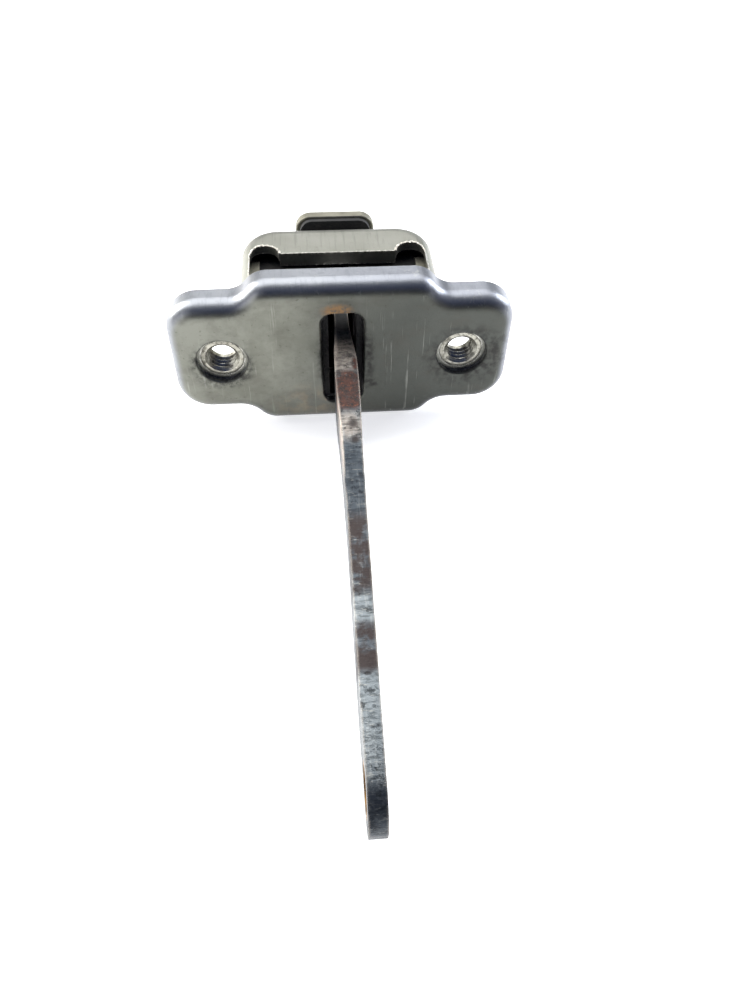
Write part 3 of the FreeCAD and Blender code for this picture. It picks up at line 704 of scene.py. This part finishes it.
def extrude_bar():
    """Draw the bar out section by section from a small square at its tail."""
    begin()
    sections = arm_sections()
    tail = -sections[0][0] * MM
    bpy.ops.mesh.primitive_plane_add(size=MM, location=(0, tail, 0), rotation=(math.pi / 2, 0, 0))
    bar = bpy.context.object
    settle()
    bpy.ops.object.mode_set(mode="EDIT")
    bpy.ops.mesh.select_mode(type="FACE")
    bpy.ops.mesh.select_all(action="SELECT")
    _, left, right, half_height = sections[0]
    first = (left + right, 1, 2 * half_height)
    bpy.ops.transform.resize(value=first, center_override=(0, tail, 0))
    for before, after in zip(sections, sections[1:]):
        middle = (after[2] - after[1]) / 2
        sideways = middle - (before[2] - before[1]) / 2
        shift = (sideways * MM, (before[0] - after[0]) * MM, 0)
        thinner = (after[1] + after[2]) / (before[1] + before[2])
        grow(shift, (thinner, 1, after[3] / before[3]), (middle * MM, -after[0] * MM, 0))
    close_up()
    return bar


class DOORCHECK_OT_arm(bpy.types.Operator):
    """Check arm with its swelling, eye and rubbed edges, and the bush in the eye"""

    bl_idname = "doorcheck.arm"
    bl_label = "Check arm"

    def execute(self, context):
        settings = settings_of(context)
        bar = extrude_bar()
        bar.name = "check_arm_bar"
        drill(bar, (0, -EYE_STATION * MM, 0), EYE_RADIUS * MM)
        drill(bar, (0, -PIN_STATION * MM, 0), PIN_HOLE_RADIUS * MM)
        width = settings.arm_edge_wear
        apply_modifier(bar, "BEVEL", width=width, segments=4, limit_method="ANGLE", angle_limit=0.6)
        pick(bar)
        bar.rotation_euler.x = math.radians(REST_TILT)
        bar.location.y = PIVOT_DEPTH * MM
        settle()
        smooth(bar)
        hand_over(bar, mill_scale(settings), "arm", "check_arm")
        dress("eye_bush", sintered_bronze())
        return {"FINISHED"}


# ---------------------------------------------------------------- other operators


class DOORCHECK_OT_collars(bpy.types.Operator):
    """The two threaded collars behind the cover's holes"""

    bl_idname = "doorcheck.collars"
    bl_label = "Threaded collars"

    def execute(self, context):
        settings = settings_of(context)
        collar = turn_collar(settings, COLLAR_SPACING / 2)
        pick(collar)
        bpy.ops.object.duplicate(linked=False)
        context.object.location.x -= COLLAR_SPACING
        settle()
        join([collar, context.object], "threaded_collar_pair")
        smooth(collar, 28)
        hand_over(collar, turned_steel(), "housing", "threaded_collars")
        return {"FINISHED"}


class DOORCHECK_OT_burrs(bpy.types.Operator):
    """Torn burrs round the lobes of the cup's two windows"""

    bl_idname = "doorcheck.burrs"
    bl_label = "Burrs"

    def execute(self, context):
        settings = settings_of(context)
        right = raise_burr(settings)
        upper = [right, mirrored_copy(right, 0)]
        burrs = join(upper + [mirrored_copy(piece, 2) for piece in upper], "window_burrs")
        smooth(burrs, 50)
        hand_over(burrs, torn_steel(), "housing")
        return {"FINISHED"}


class DOORCHECK_OT_housing(bpy.types.Operator):
    """Finishes of the cover and the cup"""

    bl_idname = "doorcheck.housing"
    bl_label = "Housing"

    def execute(self, context):
        settings = settings_of(context)
        dress("front_cover", zinc_plated_sheet(settings))
        dress("housing_cup", press_drawn_steel(settings))
        return {"FINISHED"}


class DOORCHECK_OT_brake(bpy.types.Operator):
    """Finishes of the brake inside the housing"""

    bl_idname = "doorcheck.brake"
    bl_label = "Brake"

    def execute(self, context):
        black = settings_of(context).rubber_colour
        nylon = black_moulding("moulded_nylon", black, 0.5, 0.4, 0.008, 0.2)
        acetal = black_moulding("moulded_acetal", colour("#161616"), 0.38, 0.5, 0.004, 0.2)
        rubber = black_moulding("moulded_rubber", black, 0.72, 0.5, 0.02, 0.25)
        foam = black_moulding("cellular_rubber", black, 0.85, 0.7, 0.08, 0.1)
        urethane = black_moulding("cast_urethane", colour("#1d130b"), 0.4, 0.6, 0.006, 0.1)
        plate = stamped_plate()
        for side in ("left", "right"):
            dress("seat_frame_" + side, nylon)
            dress("swivel_shoe_" + side, acetal)
            dress("brake_pad_" + side, urethane)
            dress("spring_block_" + side, rubber)
            dress("backing_plate_" + side, plate)
        dress("rear_guide", nylon)
        dress("dust_seal", foam)
        return {"FINISHED"}


class DOORCHECK_OT_stop(bpy.types.Operator):
    """Finishes of the stop plate, its pin and its rubber buffer"""

    bl_idname = "doorcheck.stop"
    bl_label = "Stop"

    def execute(self, context):
        plate = stamped_plate()
        dress("stop_plate", plate)
        dress("stop_pin", plate)
        black = settings_of(context).rubber_colour
        dress("stop_buffer", black_moulding("buffer_rubber", black, 0.68, 0.5, 0.02, 0.2))
        return {"FINISHED"}


# ---------------------------------------------------------------- stage

# name, place, point aimed at (metres), width and height, power in watts, tint
LIGHTS = (
    ("overhead_softbox", (-0.10, 0.38, 0.80), (0, 0, 0), (1.4, 0.9), 15.0, "#ffffff"),
    ("left_strip", (-0.78, 0.38, 0.36), (0, 0, 0), (0.5, 0.6), 14.0, "#fffdf8"),
    ("right_strip", (0.78, 0.34, 0.32), (0, 0, 0), (0.35, 0.5), 9.0, "#f4f8ff"),
    ("left_fill", (-0.75, -0.55, 0.25), (0, 0, 0), (0.5, 0.5), 1.5, "#ffffff"),
)


FLOOR_SIZE = 8.0
FLOOR_GAP = 0.5 * MM
CAMERA_PLACE = (-0.00657, -0.15246, 0.12453)
CAMERA_ANGLES = (-5.74, 49.25, 1.61)  # yaw, tilt and roll in degrees
CAMERA_LENS = 28.8
SENSOR_WIDTH = 36.0


def add_light(name, place, aim, span, power, tint):
    """Rectangular soft light turned towards a point."""
    bpy.ops.object.light_add(type="AREA", location=place)
    light = bpy.context.object
    light.name = name
    light.data.shape = "RECTANGLE"
    light.data.size, light.data.size_y = span
    light.data.energy = power
    light.data.color = colour(tint)[:3]
    direction = Vector(aim) - Vector(place)
    light.rotation_euler = direction.to_track_quat("-Z", "Y").to_euler()


def add_world(context, settings):
    """Soft room light: bright above and behind the piece, dim in front of it."""
    world = bpy.data.worlds.new("soft_room")
    world.use_nodes = True
    tree = world.node_tree
    tree.nodes.clear()
    way = add(tree, COORDINATES, None, "Generated")
    lift = add(tree, VECTORS, {0: way, 1: (0.0, 0.8, 0.5)}, 1, operation="DOT_PRODUCT")
    bright = add(tree, RANGE, {0: lift, 1: -0.15, 2: 0.7}, interpolation_type="SMOOTHSTEP")
    height = add(tree, VECTORS, {0: way, 1: (0.0, 0.0, 1.0)}, 1, operation="DOT_PRODUCT")
    near_floor = add(tree, RANGE, {0: height, 1: 0.4, 2: 0.1})
    shades = {0: near_floor, 6: settings.room_dark, 7: settings.room_low}
    dim = add(tree, MIX, shades, 2, data_type="RGBA")
    shades = {0: bright, 6: dim, 7: settings.room_bright}
    shade = add(tree, MIX, shades, 2, data_type="RGBA")
    back = add(tree, "ShaderNodeBackground", {"Strength": settings.room_light, "Color": shade})
    add(tree, "ShaderNodeOutputWorld", {0: back})
    context.scene.world = world


def add_camera(context):
    """Camera looking down at the front face."""
    yaw, tilt, roll = (math.radians(a) for a in CAMERA_ANGLES)
    level = math.cos(tilt)
    ahead = Vector((-math.sin(yaw) * level, math.cos(yaw) * level, -math.sin(tilt)))
    right = Vector((math.cos(yaw), math.sin(yaw), 0))
    up = right.cross(ahead)
    across = math.cos(roll) * right + math.sin(roll) * up
    upright = -math.sin(roll) * right + math.cos(roll) * up
    turn = Matrix((across, upright, -ahead)).transposed().to_4x4()
    begin()
    bpy.ops.object.camera_add()
    camera = context.object
    camera.matrix_world = Matrix.Translation(CAMERA_PLACE) @ turn
    camera.data.sensor_width = SENSOR_WIDTH
    camera.data.lens = CAMERA_LENS
    camera.data.clip_start = 0.005
    context.scene.camera = camera
    context.scene.view_settings.view_transform = "Standard"
    context.scene.view_settings.look = "None"


class DOORCHECK_OT_stage(bpy.types.Operator):
    """Floor, soft lights and camera"""

    bl_idname = "doorcheck.stage"
    bl_label = "Stage"

    def execute(self, context):
        settings = settings_of(context)
        begin()
        low = CAD_BOX[0][2]
        bpy.ops.mesh.primitive_plane_add(size=FLOOR_SIZE, location=(0, 0, low - FLOOR_GAP))
        floor = context.object
        floor.name = "floor"
        settle()
        floor.data.materials.append(matt_board(settings))
        for name, place, aim, span, power, tint in LIGHTS:
            add_light(name, place, aim, span, power * settings.light_power, tint)
        add_world(context, settings)
        add_camera(context)
        return {"FINISHED"}


# ---------------------------------------------------------------- settings, panel, registration


def shade_property(name, description, hex_code):
    """Colour that a user may change, with its default as a hex code."""
    return bpy.props.FloatVectorProperty(
        name=name,
        description=description,
        default=colour(hex_code),
        size=4,
        min=0.0,
        max=1.0,
        subtype="COLOR",
    )


class DoorCheckSettings(bpy.types.PropertyGroup):
    """What a user may change"""

    cover_colour: shade_property("Cover", "Plated sheet of the front cover", "#65665e")
    # the Tarnish colour is painted shade over the right of the cover
    right_shade_colour: shade_property("Tarnish", "Dulled plating on the cover", "#434542")
    # the Polish colour is a painted reflection on the cover's rounding
    rounding_sheen_colour: shade_property("Polish", "Plating on the cover's rounding", "#8e919a")
    cup_colour: shade_property("Cup", "Press-drawn steel of the housing cup", "#7c7c74")
    arm_colour: shade_property("Arm", "Mill scale on the check arm", "#3c4247")
    rubber_colour: shade_property("Black parts", "Rubber and nylon mouldings", "#0a0a0a")
    floor_colour: shade_property("Floor", "Board under the piece", "#f4f4f4")
    room_bright: shade_property("Bright room", "Room light above and behind", "#b9bdc2")
    room_dark: shade_property("Dark room", "Room light in front", "#4a5780")
    room_low: shade_property("Low room", "Room light in front, near the floor", "#2b2623")
    cover_roughness: bpy.props.FloatProperty(
        name="Cover roughness",
        description="Roughness of the cover's plating",
        default=0.33,
        min=0.1,
        max=0.9,
        subtype="FACTOR",
    )
    arm_edge_wear: bpy.props.FloatProperty(
        name="Arm edge wear",
        description="Width to which the arm's edges are rubbed round",
        default=0.7 * MM,
        min=0.1 * MM,
        max=1.2 * MM,
        precision=5,
        unit="LENGTH",
    )
    thread_pitch: bpy.props.FloatProperty(
        name="Thread pitch",
        description="Distance between two turns of the collars' thread",
        default=1.25 * MM,
        min=0.5 * MM,
        max=2.0 * MM,
        precision=5,
        unit="LENGTH",
    )
    thread_depth: bpy.props.FloatProperty(
        name="Thread depth",
        description="Depth of the thread in the wall of the bore",
        default=0.6 * MM,
        min=0.2 * MM,
        max=0.8 * MM,
        precision=5,
        unit="LENGTH",
    )
    burr_height: bpy.props.FloatProperty(
        name="Burr height",
        description="How far the torn edges of the windows stand out of true",
        default=0.16 * MM,
        min=0.02 * MM,
        max=0.4 * MM,
        precision=5,
        unit="LENGTH",
    )
    floor_glow: bpy.props.FloatProperty(
        name="Floor glow",
        description="Light given off by the lit board under the piece",
        default=0.7,
        min=0.0,
        max=1.0,
    )
    room_light: bpy.props.FloatProperty(
        name="Room light",
        description="Strength of the soft light from all round",
        default=0.9,
        min=0.0,
    )
    light_power: bpy.props.FloatProperty(
        name="Light power",
        description="Factor on the power of every softbox",
        default=1.0,
        min=0.0,
    )


OPERATORS = (
    DOORCHECK_OT_housing,
    DOORCHECK_OT_collars,
    DOORCHECK_OT_burrs,
    DOORCHECK_OT_brake,
    DOORCHECK_OT_arm,
    DOORCHECK_OT_stop,
    DOORCHECK_OT_stage,
)


class DOORCHECK_PT_panel(bpy.types.Panel):
    """Lists the pieces that can be built"""

    bl_label = "Door check"
    bl_space_type = "VIEW_3D"
    bl_region_type = "UI"
    bl_category = "Door check"

    def draw(self, context):
        for operator in OPERATORS:
            self.layout.operator(operator.bl_idname)
        for name in DoorCheckSettings.__annotations__:
            self.layout.prop(settings_of(context), name)


CLASSES = (DoorCheckSettings, *OPERATORS, DOORCHECK_PT_panel)


def register():
    for item in CLASSES:
        bpy.utils.register_class(item)
    bpy.types.Scene.door_check = bpy.props.PointerProperty(type=DoorCheckSettings)


def unregister():
    del bpy.types.Scene.door_check
    for item in reversed(CLASSES):
        bpy.utils.unregister_class(item)


def main():
    register()
    bpy.ops.doorcheck.housing()
    bpy.ops.doorcheck.collars()
    bpy.ops.doorcheck.burrs()
    bpy.ops.doorcheck.brake()
    bpy.ops.doorcheck.arm()
    bpy.ops.doorcheck.stop()
    bpy.ops.doorcheck.stage()


if __name__ == "__main__":
    main()
